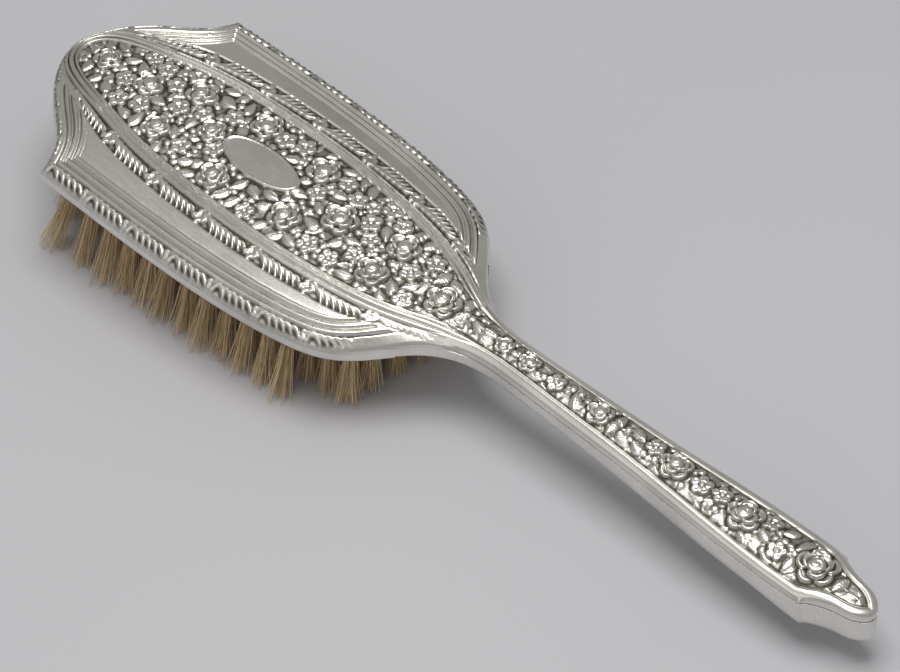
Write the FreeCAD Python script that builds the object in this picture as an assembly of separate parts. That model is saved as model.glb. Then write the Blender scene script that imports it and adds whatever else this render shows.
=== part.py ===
import FreeCAD, Part
import math
import os

# A silver-backed vanity hairbrush: a stamped silver back over a drawn bristle board, with a filled handle.
#
# The frame: +X runs from the head end to the tip of the handle, +Z is up, and the bristle tips are at Z = 0.
# The origin is on that standing plane, under the middle of the brush. Millimetres throughout.
# Every piece is drawn with the rim level, at stations measured from the head end, and then leaned into
# its resting place.

Vector = FreeCAD.Vector

# ---- overall sizes ----
OVERALL_LENGTH = 245.0
HEAD_LENGTH = 121.0          # head end to the start of the handle
HEAD_WIDTH = 65.6
HANDLE_WIDTH = 16.4          # across the two corners near the tip
WAIST_WIDTH = 11.0           # the narrowest part of the handle, just behind the head
CORNER_SETBACK = 22.4        # head end to the two sharp corners of the head
TIP_LENGTH = 14.5            # handle corners to the tip
REST_LEAN = 3.5              # degrees the handle dips when the brush stands on its bristles

# ---- heights, from the standing plane up, at the middle of the head ----
BRISTLE_LENGTH = 21.8        # free bristle below the board
BOARD_PROUD = 0.4            # how far the board stands below the silver rim
RIM_DEPTH = 4.0              # side wall of the head, rim edge up to the arris
ARRIS_RISE = 0.7             # edge of the crown above the parting plane of the two handle shells
HEAD_CROWN = 4.6
HANDLE_CROWN = 2.6
NECK_DEPTH = 4.6             # lower shell of the handle, below the parting plane, at its two ends
HANDLE_DEPTH = 8.2

# ---- silver ----
WALL = 0.6
LIP_WIDTH = 0.9              # rim edge turned in under the board
LIP_THICKNESS = 0.6
BORDER_WIDTH = 3.3           # outer flower border
BORDER_STEP = 0.3            # the field inside the border stands this much higher
PANEL_WIDTH = 34.4           # middle panel with its beads, at its widest
PANEL_SETBACK = 3.2          # head end to the panel's end
PANEL_STEP = 0.5
PANEL_INSET = 1.9            # handle edge to the panel
CARTOUCHE_LENGTH = 22.4
CARTOUCHE_WIDTH = 9.6
CARTOUCHE_SETBACK = 61.8     # head end to the middle of the plain oval
CARTOUCHE_STEP = 0.25

# ---- board, bristles and drawing wire ----
FIT = 0.1                    # clearance between the silver and what it holds
BOARD_THICKNESS = 4.1
TUFT_ROWS = 9
ROW_PITCH = 6.1
TUFT_PITCH = 6.2
TUFT_MARGIN = 4.7            # board's edge to the nearest tuft's middle
BORE_RADIUS = 1.6
BORE_DEPTH = 2.7
TUFT_ROOT_RADIUS = 1.3
TUFT_TIP_RADIUS = 2.7
TUFT_END_GAP = 0.15          # tuft's fold to the bottom of its bore
WIRE_RADIUS = 0.25
WIRE_LEG_RADIUS = 0.4        # the two strands of a loop, twisted together
WIRE_HOLE_RADIUS = 0.6
WIRE_LEG_GAP = 0.12          # end of a loop to the tuft's fold, which it grips
GROOVE_WIDTH = 0.8
GROOVE_DEPTH = 0.6

# ---- steel strip through the neck ----
TANG_WIDTH = 5.0
TANG_THICKNESS = 1.2
TANG_IN_HEAD = 34.0
TANG_IN_HANDLE = 92.0
TANG_LIFT = 0.1              # above the board's back

# ---- what follows from those ----
BOARD_FACE = BRISTLE_LENGTH
RIM_EDGE = BOARD_FACE + BOARD_PROUD
PARTING = RIM_EDGE + RIM_DEPTH
LIP_TOP = RIM_EDGE + LIP_THICKNESS
BOARD_BACK = BOARD_FACE + BOARD_THICKNESS
HEAD_MIDDLE = HEAD_LENGTH / 2.0
HANDLE_CORNER = OVERALL_LENGTH - TIP_LENGTH
HANDLE_LENGTH = HANDLE_CORNER - HEAD_LENGTH
NECK_STATION = HEAD_LENGTH - 4.0
SKY = PARTING + 40.0         # above everything
PIT = -40.0                  # below everything
INSET_POINTS = (12, 40, 10)   # points that an inset of each stretch is drawn through
STATION_STEP = 0.5           # how finely the room for tufts is searched
SURFACE_COLUMNS = 45
SURFACE_ROWS = 9
SURFACE_MARGIN = 1.12        # the crown and keel surfaces run this much wider than the outline

# The half outline, as shares of each stretch's length and of the half width of the head, waist or handle.
# HANDLE_SHAPE runs back from the corners, and its second figure is the share of the way in to the waist.
ARCH_SHAPE = [(0.0, 0.0), (0.09, 0.20), (0.30, 0.40), (0.62, 0.60), (0.87, 0.76), (1.0, 0.985)]
SIDE_SHAPE = [(0.0, 0.985), (0.22, 1.0), (0.53, 0.985), (0.74, 0.915), (0.87, 0.785), (0.945, 0.575)]
NECK_SHAPE = [(0.018, 1.95), (0.085, 1.22), (0.22, 1.0)]
HANDLE_SHAPE = [(0.42, 0.56), (0.0, 0.0)]
TIP_SHAPE = [(0.0, 1.0), (0.16, 0.77), (0.50, 0.56), (0.80, 0.44), (1.0, 0.0)]
# The middle panel, as shares of the head's length and the panel's half width, and then along the handle.
PANEL_HANDLE_SHARES = (0.10, 0.22, 0.40, 0.60, 0.80, 0.98)
PANEL_SHAPE = [
    (0.02, 0.20), (0.08, 0.50), (0.16, 0.68), (0.30, 0.88),
    (0.50, 1.0), (0.70, 0.95), (0.85, 0.80), (0.97, 0.54),
]


def ease(share):
    """A smooth step from 0 to 1."""
    share = min(1.0, max(0.0, share))
    return share * share * (3.0 - 2.0 * share)


def spline_edge(vectors, first=None, last=None):
    """A smooth edge through plan points, with the end directions that are given."""
    tangents = [Vector(1, 0, 0)] * len(vectors)
    flags = [False] * len(vectors)
    for place, direction in ((0, first), (-1, last)):
        if direction is not None:
            tangents[place] = direction
            flags[place] = True
    curve = Part.BSplineCurve()
    curve.interpolate(Points=vectors, Tangents=tangents, TangentFlags=flags)
    return curve.toShape()


def both_hands(edges):
    """A closed outline from the edges of its +Y half."""
    mirrored = [edge.mirror(Vector(0, 0, 0), Vector(0, 1, 0)) for edge in edges]
    return Part.Wire(Part.__sortEdges__(edges + mirrored))


def outline_stretches():
    """The arch of the head end, the side with the neck and handle, and the tip, on the +Y side."""
    half_head = HEAD_WIDTH / 2.0
    half_waist = WAIST_WIDTH / 2.0
    half_handle = HANDLE_WIDTH / 2.0
    side_length = HEAD_LENGTH - CORNER_SETBACK
    arch = [Vector(CORNER_SETBACK * u, half_head * v, 0) for u, v in ARCH_SHAPE]
    side = [Vector(CORNER_SETBACK + side_length * u, half_head * v, 0) for u, v in SIDE_SHAPE]
    neck = [Vector(HEAD_LENGTH + HANDLE_LENGTH * u, half_waist * v, 0) for u, v in NECK_SHAPE]
    handle = [Vector(HANDLE_CORNER - HANDLE_LENGTH * u, half_handle - (half_handle - half_waist) * v, 0)
              for u, v in HANDLE_SHAPE]
    tip = [Vector(HANDLE_CORNER + TIP_LENGTH * u, half_handle * v, 0) for u, v in TIP_SHAPE]
    return [
        spline_edge(arch, Vector(0, 1, 0), Vector(0.12, 1, 0)),
        spline_edge(side + neck + handle),
        spline_edge(tip, Vector(0.55, -1, 0), Vector(0, -1, 0)),
    ]


STRETCHES = outline_stretches()


def inward(curve, parameter):
    """The unit normal into the brush, for a curve that runs from the head end to the tip on the +Y side."""
    along = curve.tangent(parameter)[0]
    return Vector(along.y, -along.x, 0)


def outline_wire(inset=0.0, end=None):
    """The whole outline moved inwards by inset, with its corners mitred, or only as far as a rounded end."""
    if inset == 0.0:
        return both_hands(STRETCHES)
    curves = [edge.Curve for edge in STRETCHES]
    corners = []
    for before, after in zip(curves, curves[1:]):
        one = inward(before, before.LastParameter)
        two = inward(after, after.FirstParameter)
        corners.append(before.value(before.LastParameter) + (one + two) * (inset / (1.0 + one.dot(two))))
    runs = []
    for number, edge in enumerate(STRETCHES):
        curve = curves[number]
        others = [other for other in STRETCHES if other is not edge]
        points = []
        for i in range(INSET_POINTS[number] + 1):
            share = i / INSET_POINTS[number]
            parameter = curve.FirstParameter + (curve.LastParameter - curve.FirstParameter) * share
            point = curve.value(parameter) + inward(curve, parameter) * inset
            gap = min(Part.Vertex(point).distToShape(other)[0] for other in others)
            if gap > inset * 1.04 and point.y > -1e-6:
                points.append(point)
        runs.append(points)
    arch = runs[0] + [corners[0]]
    edges = [spline_edge(arch, Vector(0, 1, 0))]
    if end is None:
        edges.append(spline_edge([corners[0]] + runs[1] + [corners[1]]))
        edges.append(spline_edge([corners[1]] + runs[2], None, Vector(0, -1, 0)))
    else:
        side = [point for point in runs[1] if point.x < end * 0.9]
        edges.append(spline_edge([corners[0]] + side + [Vector(end, 0, 0)], None, Vector(0, -1, 0)))
    return both_hands(edges)


def prism(wire, low, high):
    """A flat outline raised between two heights."""
    face = Part.Face(wire)
    face.translate(Vector(0, 0, low))
    return face.extrude(Vector(0, 0, high - low))


def half_width(station):
    """Half the brush's width at a station. Beyond the sharp corners it stays as wide as they are."""
    curve = STRETCHES[1].Curve
    low, high = curve.FirstParameter, curve.LastParameter
    widest = CORNER_SETBACK * 1.6
    if station <= widest:
        return HEAD_WIDTH / 2.0
    if station >= HANDLE_CORNER:
        return HANDLE_WIDTH / 2.0
    for _ in range(40):
        middle = (low + high) / 2.0
        if curve.value(middle).x < station:
            low = middle
        else:
            high = middle
    return curve.value(low).y


def crown_rise(station):
    """How far the ridge of the back stands above its edge."""
    along_neck = ease((station - HEAD_LENGTH * 0.6) / (HEAD_LENGTH * 0.6))
    rise = HEAD_CROWN + (HANDLE_CROWN - HEAD_CROWN) * along_neck
    head_share = min(1.0, max(0.0, station) / (CORNER_SETBACK * 2.2))
    tip_share = min(1.0, max(0.0, OVERALL_LENGTH - station) / (TIP_LENGTH * 1.4))
    rounding = math.sqrt(1.0 - (1.0 - head_share) ** 2) * math.sqrt(1.0 - (1.0 - tip_share) ** 2)
    return rise * rounding


def crown_height(station, share):
    """The back's height at a share of the half width."""
    return PARTING + ARRIS_RISE + crown_rise(station) * (1.0 - share * share)


def keel_height(station, share):
    """The underside of the handle at a share of the half width."""
    growth = ease((station - NECK_STATION) / (HANDLE_LENGTH * 0.9))
    end_lift = 1.0 - min(1.0, max(0.0, OVERALL_LENGTH - station) / TIP_LENGTH)
    depth = NECK_DEPTH + (HANDLE_DEPTH - NECK_DEPTH) * growth - 1.6 * end_lift ** 2
    return PARTING - depth + 1.7 * share ** 4


def side_of_surface(height, direction, shift=0.0):
    """Everything above (direction 1) or below (-1) a smooth surface over the plan, itself raised by shift."""
    grid = []
    for i in range(SURFACE_COLUMNS):
        station = -1.0 + (OVERALL_LENGTH + 2.0) * i / (SURFACE_COLUMNS - 1)
        reach = half_width(station) * SURFACE_MARGIN + 0.6
        column = []
        for j in range(SURFACE_ROWS):
            y = reach * (2.0 * j / (SURFACE_ROWS - 1) - 1.0)
            column.append(Vector(station, y, height(station, y / half_width(station)) + shift))
        grid.append(column)
    surface = Part.BSplineSurface()
    surface.interpolate(grid)
    return surface.toShape().extrude(Vector(0, 0, direction * 80.0))


def below_crown(shift=0.0):
    return side_of_surface(crown_height, -1.0, shift)


def above_keel(shift=0.0):
    return side_of_surface(keel_height, 1.0, shift)


def block(from_station, to_station, low, high):
    """A box across the whole brush between two stations and two heights."""
    return Part.makeBox(to_station - from_station, HEAD_WIDTH * 2.0, high - low,
                        Vector(from_station, -HEAD_WIDTH, low))


HEAD_SIDE = block(-10.0, NECK_STATION, PIT, SKY)
HANDLE_BELOW = block(NECK_STATION, OVERALL_LENGTH + 10.0, PIT, PARTING)
HANDLE_SIDE = block(NECK_STATION, OVERALL_LENGTH + 10.0, PIT, SKY)


def panel_wire():
    """The outline of the middle panel, down the head and along the handle."""
    half_panel = PANEL_WIDTH / 2.0
    points = [Vector(PANEL_SETBACK, 0, 0)]
    points += [Vector(HEAD_LENGTH * u, half_panel * v, 0) for u, v in PANEL_SHAPE]
    for share in PANEL_HANDLE_SHARES:
        station = HEAD_LENGTH + HANDLE_LENGTH * share
        points.append(Vector(station, half_width(station) - PANEL_INSET, 0))
    middle = Vector(HANDLE_CORNER + TIP_LENGTH * 0.45, HANDLE_WIDTH * 0.28 - PANEL_INSET, 0)
    end = Vector(OVERALL_LENGTH - PANEL_INSET * 2.0, 0, 0)
    return both_hands([spline_edge(points), Part.LineSegment(points[-1], middle).toShape(),
                       Part.LineSegment(middle, end).toShape()])


def cartouche_wire():
    ellipse = Part.Ellipse(Vector(CARTOUCHE_SETBACK, 0, 0), CARTOUCHE_LENGTH / 2.0, CARTOUCHE_WIDTH / 2.0)
    return Part.Wire(ellipse.toShape())


def tang_box(clearance=0.0):
    length = TANG_IN_HEAD + TANG_IN_HANDLE + 2.0 * clearance
    corner = Vector(NECK_STATION - TANG_IN_HEAD - clearance, -TANG_WIDTH / 2.0 - clearance,
                    BOARD_BACK + TANG_LIFT - clearance)
    return Part.makeBox(length, TANG_WIDTH + 2.0 * clearance, TANG_THICKNESS + 2.0 * clearance, corner)


def make_back_stamping():
    """The stamped silver back: head, rim wall with its turned-in lip, and the upper half of the handle."""
    steps = [
        (outline_wire(), 0.0),
        (outline_wire(BORDER_WIDTH, HEAD_LENGTH), BORDER_STEP),
        (panel_wire(), BORDER_STEP + PANEL_STEP),
        (cartouche_wire(), BORDER_STEP + PANEL_STEP + CARTOUCHE_STEP),
    ]
    solid = None
    for wire, rise in steps:
        layer = prism(wire, RIM_EDGE, SKY).common(below_crown(rise))
        solid = layer if solid is None else solid.fuse(layer)
    hollow = prism(outline_wire(WALL), LIP_TOP, SKY).common(below_crown(-WALL))
    mouth = prism(outline_wire(WALL + LIP_WIDTH), PIT, LIP_TOP + WALL)
    return solid.cut(hollow).cut(mouth.common(HEAD_SIDE)).cut(HANDLE_BELOW)


def make_under_shell():
    """The lower half of the handle, soldered along the parting plane, with a notch for the steel strip."""
    outer = prism(outline_wire(), PIT, PARTING).common(above_keel()).common(HANDLE_SIDE)
    inner = prism(outline_wire(WALL), PIT, SKY).common(above_keel(WALL))
    hollow = inner.common(block(NECK_STATION + WALL, OVERALL_LENGTH, PIT, SKY))
    return outer.cut(hollow).cut(tang_box(FIT))


def tuft_places():
    """The tufts of each lengthwise row, as a list of (y, list of stations)."""
    margin = WALL + FIT + TUFT_MARGIN
    face = Part.Face(outline_wire())
    places = []
    for row in range(TUFT_ROWS):
        y = ROW_PITCH * (row - (TUFT_ROWS - 1) / 2.0)
        free = []
        for i in range(int(NECK_STATION / STATION_STEP)):
            point = Part.Vertex(STATION_STEP * i, y, 0)
            if face.isInside(point.Point, 0.01, False):
                if min(point.distToShape(edge)[0] for edge in face.Edges) > margin:
                    free.append(STATION_STEP * i)
        last = min(free[-1], NECK_STATION - margin)
        count = int((last - free[0]) // TUFT_PITCH) + 1
        first = (free[0] + last - (count - 1) * TUFT_PITCH) / 2.0
        places.append((y, [first + TUFT_PITCH * i for i in range(count)]))
    return places


def make_board(rows):
    """The wooden bristle board, bored for every tuft, with a wire groove along the back of each row."""
    body = prism(outline_wire(WALL + FIT), LIP_TOP, BOARD_BACK)
    face = prism(outline_wire(WALL + LIP_WIDTH + FIT), BOARD_FACE, LIP_TOP)
    board = body.fuse(face).removeSplitter().cut(block(NECK_STATION - FIT, OVERALL_LENGTH, PIT, SKY))
    cutters = []
    for y, stations in rows:
        for x in stations:
            cutters.append(Part.makeCylinder(BORE_RADIUS, BORE_DEPTH, Vector(x, y, BOARD_FACE)))
            cutters.append(Part.makeCylinder(WIRE_HOLE_RADIUS, BOARD_THICKNESS, Vector(x, y, BOARD_FACE)))
        length = stations[-1] - stations[0] + GROOVE_WIDTH
        corner = Vector(stations[0] - GROOVE_WIDTH / 2.0, y - GROOVE_WIDTH / 2.0, BOARD_BACK - GROOVE_DEPTH)
        cutters.append(Part.makeBox(length, GROOVE_WIDTH, GROOVE_DEPTH, corner))
    return board.cut(Part.Compound(cutters))


def make_wire(y, stations):
    """The drawing wire of one row: a run along its groove, with a twisted loop down to each tuft."""
    height = BOARD_BACK - GROOVE_DEPTH / 2.0
    length = stations[-1] - stations[0]
    run = Part.makeCylinder(WIRE_RADIUS, length, Vector(stations[0], y, height), Vector(1, 0, 0))
    leg_end = BOARD_FACE + BORE_DEPTH - TUFT_END_GAP + WIRE_LEG_GAP
    legs = [Part.makeCylinder(WIRE_LEG_RADIUS, height - leg_end, Vector(x, y, leg_end)) for x in stations]
    return run.multiFuse(legs)


def make_tufts(y, stations):
    """One row of tufts, each a flared bundle in its bore. They are cut off level once the brush leans."""
    top = BOARD_FACE + BORE_DEPTH - TUFT_END_GAP
    flare = (TUFT_TIP_RADIUS - TUFT_ROOT_RADIUS) / top
    length = top + 12.0
    tufts = []
    for x in stations:
        foot = Vector(x, y, top - length)
        tufts.append(Part.makeCone(TUFT_ROOT_RADIUS + flare * length, TUFT_ROOT_RADIUS, length, foot))
    return Part.Compound(tufts)


def make_head_filler():
    """The pitch that backs the crown of the head, from the board up to the silver."""
    mass = prism(outline_wire(WALL + FIT), BOARD_BACK, SKY).common(below_crown(-WALL - FIT))
    return mass.common(HEAD_SIDE).cut(tang_box(FIT))


def make_handle_filler():
    """The pitch that fills the hollow handle, cast round the steel strip."""
    length = block(NECK_STATION + WALL + FIT, OVERALL_LENGTH, PIT, SKY)
    mass = prism(outline_wire(WALL + FIT), PIT, SKY).common(length)
    return mass.common(above_keel(WALL + FIT)).common(below_crown(-WALL - FIT)).cut(tang_box(FIT))


def lean(shape):
    """Lean a piece from its level place into its resting place, handle end down."""
    moved = shape.copy()
    moved.rotate(Vector(HEAD_MIDDLE, 0, 0), Vector(0, 1, 0), REST_LEAN)
    return moved


rows = tuft_places()
pieces = {
    "back_stamping": make_back_stamping(),
    "handle_under_shell": make_under_shell(),
    "bristle_board": make_board(rows),
    "head_filler": make_head_filler(),
    "handle_filler": make_handle_filler(),
    "neck_strip": tang_box(),
}
for number, (y, stations) in enumerate(rows, start=1):
    pieces[f"bristle_row_{number}"] = make_tufts(y, stations)
    pieces[f"drawing_wire_{number}"] = make_wire(y, stations)

leaned = {name: lean(shape) for name, shape in pieces.items()}
silver = Part.Compound([leaned["back_stamping"], leaned["handle_under_shell"]]).BoundBox
to_origin = Vector(-(silver.XMin + silver.XMax) / 2.0, 0, 0)
below_ground = Part.makeBox(OVERALL_LENGTH * 2.0, HEAD_WIDTH * 4.0, 60.0,
                            Vector(-OVERALL_LENGTH / 2.0, -HEAD_WIDTH * 2.0, -60.0))

os.makedirs("parts", exist_ok=True)
for name, shape in leaned.items():
    if name.startswith("bristle_row"):
        shape = Part.Compound([tuft.cut(below_ground) for tuft in shape.Solids])
    shape.translate(to_origin)
    shape.exportStep(f"parts/{name}.step")
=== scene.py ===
import math

import bpy
import numpy as np
from mathutils import Matrix, Vector


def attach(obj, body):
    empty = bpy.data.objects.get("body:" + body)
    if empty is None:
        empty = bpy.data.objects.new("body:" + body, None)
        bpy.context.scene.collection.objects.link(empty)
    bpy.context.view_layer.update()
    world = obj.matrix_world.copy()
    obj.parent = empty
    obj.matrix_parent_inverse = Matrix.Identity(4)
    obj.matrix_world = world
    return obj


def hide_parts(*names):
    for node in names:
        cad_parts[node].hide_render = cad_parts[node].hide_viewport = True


# A silver-backed vanity hairbrush. The relief of the back is drawn as heights over the plan of the brush,
# in millimetres, with the rim level and stations measured from the head end. Everything is then leaned
# and moved into the shared frame. The bristles are grown by Geometry Nodes.

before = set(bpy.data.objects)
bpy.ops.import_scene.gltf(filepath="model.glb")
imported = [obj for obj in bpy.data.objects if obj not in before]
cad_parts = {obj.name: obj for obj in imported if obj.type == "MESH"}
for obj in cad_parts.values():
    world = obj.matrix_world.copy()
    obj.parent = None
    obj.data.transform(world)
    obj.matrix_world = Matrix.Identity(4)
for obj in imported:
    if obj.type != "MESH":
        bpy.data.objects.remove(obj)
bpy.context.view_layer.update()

MM = 0.001

# ---- the brush's sizes, as in the solid model ----
OVERALL_LENGTH = 245.0
HEAD_LENGTH = 121.0
HALF_HEAD = 32.8
HALF_HANDLE = 8.2
HALF_WAIST = 5.5
CORNER_SETBACK = 22.4
TIP_LENGTH = 14.5
HANDLE_CORNER = OVERALL_LENGTH - TIP_LENGTH
HANDLE_LENGTH = HANDLE_CORNER - HEAD_LENGTH
NECK_STATION = HEAD_LENGTH - 4.0
WALL_LAP = 1.4
BOARD_BACK = 25.9
PITCH_INSET = 3.0
PITCH_DEPTH = 0.9
SEAM_DEPTH = 0.40
BOARD_FACE = 21.8
RIM_EDGE = 22.2
LIP_TOP = 22.8
LIP_WIDTH = 1.5
PARTING = 26.2
ARRIS_RISE = 0.7
HEAD_CROWN = 4.6
HANDLE_CROWN = 2.6
NECK_DEPTH = 4.0
HANDLE_DEPTH = 8.2
REST_LEAN = math.radians(3.5)
LEAN_STATION = HEAD_LENGTH / 2.0
TO_ORIGIN = -124.04

ARCH_SHAPE = [(0.0, 0.0), (0.09, 0.20), (0.30, 0.40), (0.62, 0.60), (0.87, 0.76), (1.0, 0.985)]
SIDE_SHAPE = [(0.0, 0.985), (0.22, 1.0), (0.53, 0.985), (0.74, 0.915), (0.87, 0.785), (0.945, 0.575)]
NECK_SHAPE = [(0.018, 1.95), (0.085, 1.22), (0.22, 1.0)]
HANDLE_SHAPE = [(0.42, 0.56), (0.0, 0.0)]
TIP_SHAPE = [(0.0, 1.0), (0.16, 0.77), (0.50, 0.56), (0.80, 0.44), (1.0, 0.0)]

# ---- bands of the back, as distances in from the outline or out from the panel's bead ----
EDGE_ROUND = 0.8
EDGE_DROP = 1.25
BORDER_WIDTH = 3.2
LINE_PLACES = (3.4, 5.0, 6.7)
BORDER_PITCH = 13.3
BORDER_MIDDLE = 1.75
INNER_PITCH = 15.9
INNER_MIDDLE = 3.5
BEAD_HALF = 1.7
BEAD_CURVE = [
    (2.6, 0.0), (4.0, 4.2), (10.0, 8.2), (20.0, 11.0), (30.0, 13.3), (45.0, 15.3), (60.0, 16.0),
    (75.0, 15.9), (90.0, 14.8), (100.0, 13.5), (110.0, 11.2), (118.0, 8.3), (126.0, 5.2),
]
HANDLE_BEAD_INSET = 2.3
HANDLE_BEAD_STATIONS = (134.0, 144.0, 156.0, 170.0, 186.0, 202.0, 216.0, 228.0)
TIP_BEAD_INSET = HANDLE_BEAD_INSET * 0.75
TIP_BEAD_SETBACK = 1.6
TIP_BEAD_SKIP = 16
CARTOUCHE = (61.8, 0.0, 11.3, 4.8)

# ---- heights and half widths of the chasing ----
LINE_STEP = 0.12
LINE_HEIGHT = 0.46
LINE_HALF = 0.46
LINE_GROOVE_OUT = 0.62
LINE_GROOVE_IN = 0.60
LINE_GROOVE_DEPTH = 0.24
GROOVE_HALF = 0.16
BORDER_HEIGHT = 0.50
INNER_HEIGHT = 0.55
BEAD_HEIGHT = 0.74
BEAD_RADIUS = 0.62
SIDE_BEAD_PLACE = 1.15
SIDE_BEAD_HEIGHT = 0.42
SIDE_BEAD_RADIUS = 0.42
BEAD_GROOVE_DEPTH = 0.20
MOULDING_PLACE = 1.05
MOULDING_HEIGHT = 0.50
MOULDING_HALF = 1.25
PANEL_DEPTH = 0.10
PLATE_HEIGHT = 0.62
PLATE_RIM_HEIGHT = 0.30
PLATE_RIM_HALF = 0.33

# ---- stations over which one treatment gives way to the next ----
HANDLE_BLEND = (118.0, 134.0)
HEAD_FADE = (112.0, 124.0)
BORDER_FADE = (106.0, 115.0)
INNER_RISE = (3.0, 9.0)
INNER_FADE = (116.0, 126.0)
INNER_WIDEN = (8.0, 30.0)
INNER_NARROW = (100.0, 122.0)
CROWN_FADE = HEAD_LENGTH * 0.6
SEAM_FADE = (NECK_STATION + 2.0, NECK_STATION + 20.0)
SHELL_ROUNDING = (NECK_STATION, NECK_STATION + 40.0)
TIP_SQUARING = (HANDLE_CORNER - 15.0, HANDLE_CORNER + 1.5)

# ---- flowers of the middle panel: station, across, radius ----
ROSES = [
    (11.5, 0.3, 3.5), (25.0, 0.5, 3.7), (46.3, -0.3, 3.5), (36.5, 6.6, 4.0), (54.5, 9.6, 4.0),
    (73.5, 8.6, 4.1), (35.5, -7.8, 3.6), (56.0, -9.8, 4.0), (76.5, -7.4, 4.1), (86.5, 0.5, 4.5),
    (102.5, 4.6, 4.1), (102.0, -5.5, 4.1), (119.5, -0.8, 4.4), (137.5, 0.0, 2.4), (145.0, 0.0, 2.7),
    (166.0, 0.0, 3.3), (188.0, 0.3, 3.9), (208.0, 0.3, 4.4), (228.5, 0.2, 4.9),
]
FIRST_HANDLE_FLOWER = 130.0
PANEL_SEED = 11

# ---- sampling of the relief ----
HEAD_STEP = 0.20
HEAD_COLUMNS = 341
HANDLE_STEP = 0.17
HANDLE_COLUMNS = 105
JOIN_STATION = 126.0
ARCH_STEP = 0.26
SHELL_STEP = 0.6
SHELL_TIP_STEP = 0.3
SHELL_COLUMNS = 61
SEARCH_REACH = 45.0

# ---- bristles ----
ROW_PITCH = 6.1
TUFT_PITCH = 6.2
ROW_STARTS = {0: (5.85, 18), 1: (10.45, 17), 2: (16.05, 16), 3: (21.1, 15), 4: (26.65, 12)}
BRISTLES_PER_TUFT = 85
OUTER_ROW = 4 * ROW_PITCH
OUTER_PULL = 0.23
END_PULL = -0.20
END_REACH = 18.0
PULL_SPREAD = 0.022
ROW_SEED = 400


# ================= plan curves =================

def spline(points, first=None, last=None, step=0.12):
    """Points along the smooth curve through some plan points."""
    p = np.array(points, float)
    h = np.linalg.norm(np.diff(p, axis=0), axis=1)
    knots = np.concatenate([[0.0], np.cumsum(h)])
    n = len(p)

    def end_slope(order):
        t = knots[order]
        total = np.zeros(2)
        for i in range(4):
            weight = 0.0
            for j in range(4):
                if j != i:
                    term = 1.0 / (t[i] - t[j])
                    for k in range(4):
                        if k not in (i, j):
                            term *= (t[0] - t[k]) / (t[i] - t[k])
                    weight += term
            total += weight * p[order[i]]
        return total

    start = end_slope([0, 1, 2, 3]) if first is None else np.array(first) / np.hypot(*first)
    end = end_slope([n - 1, n - 2, n - 3, n - 4]) if last is None else np.array(last) / np.hypot(*last)
    matrix = np.zeros((n, n))
    right = np.zeros((n, 2))
    matrix[0, 0] = 1.0
    matrix[-1, -1] = 1.0
    right[0] = start
    right[-1] = end
    for i in range(1, n - 1):
        matrix[i, i - 1] = h[i]
        matrix[i, i] = 2.0 * (h[i - 1] + h[i])
        matrix[i, i + 1] = h[i - 1]
        right[i] = 3.0 * (h[i] / h[i - 1] * (p[i] - p[i - 1]) + h[i - 1] / h[i] * (p[i + 1] - p[i]))
    slopes = np.linalg.solve(matrix, right)
    out = []
    for i in range(n - 1):
        count = max(2, int(h[i] / step))
        u = (np.arange(count) / count)[:, None]
        out.append(
            (2 * u**3 - 3 * u**2 + 1) * p[i] + (u**3 - 2 * u**2 + u) * h[i] * slopes[i]
            + (-2 * u**3 + 3 * u**2) * p[i + 1] + (u**3 - u**2) * h[i] * slopes[i + 1])
    out.append(p[-1:])
    return np.concatenate(out)


def resample(points, step):
    """The same polyline with evenly spaced points."""
    lengths = np.concatenate([[0.0], np.cumsum(np.linalg.norm(np.diff(points, axis=0), axis=1))])
    count = max(2, int(round(lengths[-1] / step)))
    at = np.linspace(0.0, lengths[-1], count + 1)
    return np.stack([np.interp(at, lengths, points[:, 0]), np.interp(at, lengths, points[:, 1])], -1)


arch = spline([(CORNER_SETBACK * u, HALF_HEAD * v) for u, v in ARCH_SHAPE], (0, 1), (0.12, 1))
side_length = HEAD_LENGTH - CORNER_SETBACK
side = spline(
    [(CORNER_SETBACK + side_length * u, HALF_HEAD * v) for u, v in SIDE_SHAPE]
    + [(HEAD_LENGTH + HANDLE_LENGTH * u, HALF_WAIST * v) for u, v in NECK_SHAPE]
    + [(HANDLE_CORNER - HANDLE_LENGTH * u, HALF_HANDLE - (HALF_HANDLE - HALF_WAIST) * v)
       for u, v in HANDLE_SHAPE])
tip = spline([(HANDLE_CORNER + TIP_LENGTH * u, HALF_HANDLE * v) for u, v in TIP_SHAPE], (0.55, -1), (0, -1))
outline = np.concatenate([arch[:-1], side[:-1], tip])
WIDEST_STATION = CORNER_SETBACK + side_length * SIDE_SHAPE[1][0]


def half_width(x):
    """The outline's half width at a station."""
    return np.interp(x, outline[:, 0], outline[:, 1])


def crown_width(x):
    """The half width that the crown is spread over. It stays wide beyond the sharp corners."""
    wide = np.where(x < WIDEST_STATION, HALF_HEAD, half_width(x))
    return np.where(x > HANDLE_CORNER, HALF_HANDLE, wide)


bead_points = [(x, y) for x, y in BEAD_CURVE]
for station in HANDLE_BEAD_STATIONS:
    bead_points.append((station, float(half_width(station)) - HANDLE_BEAD_INSET))
bead_line = spline(bead_points, (0, 1), None)
tip_inset = [(x - TIP_BEAD_SETBACK, y - TIP_BEAD_INSET) for x, y in tip if y > TIP_BEAD_INSET + 0.4]
bead_line = np.concatenate([bead_line, tip_inset[TIP_BEAD_SKIP:], [(OVERALL_LENGTH - 2.0, 0.0)]])
bead_line = resample(bead_line, 0.8)


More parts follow.
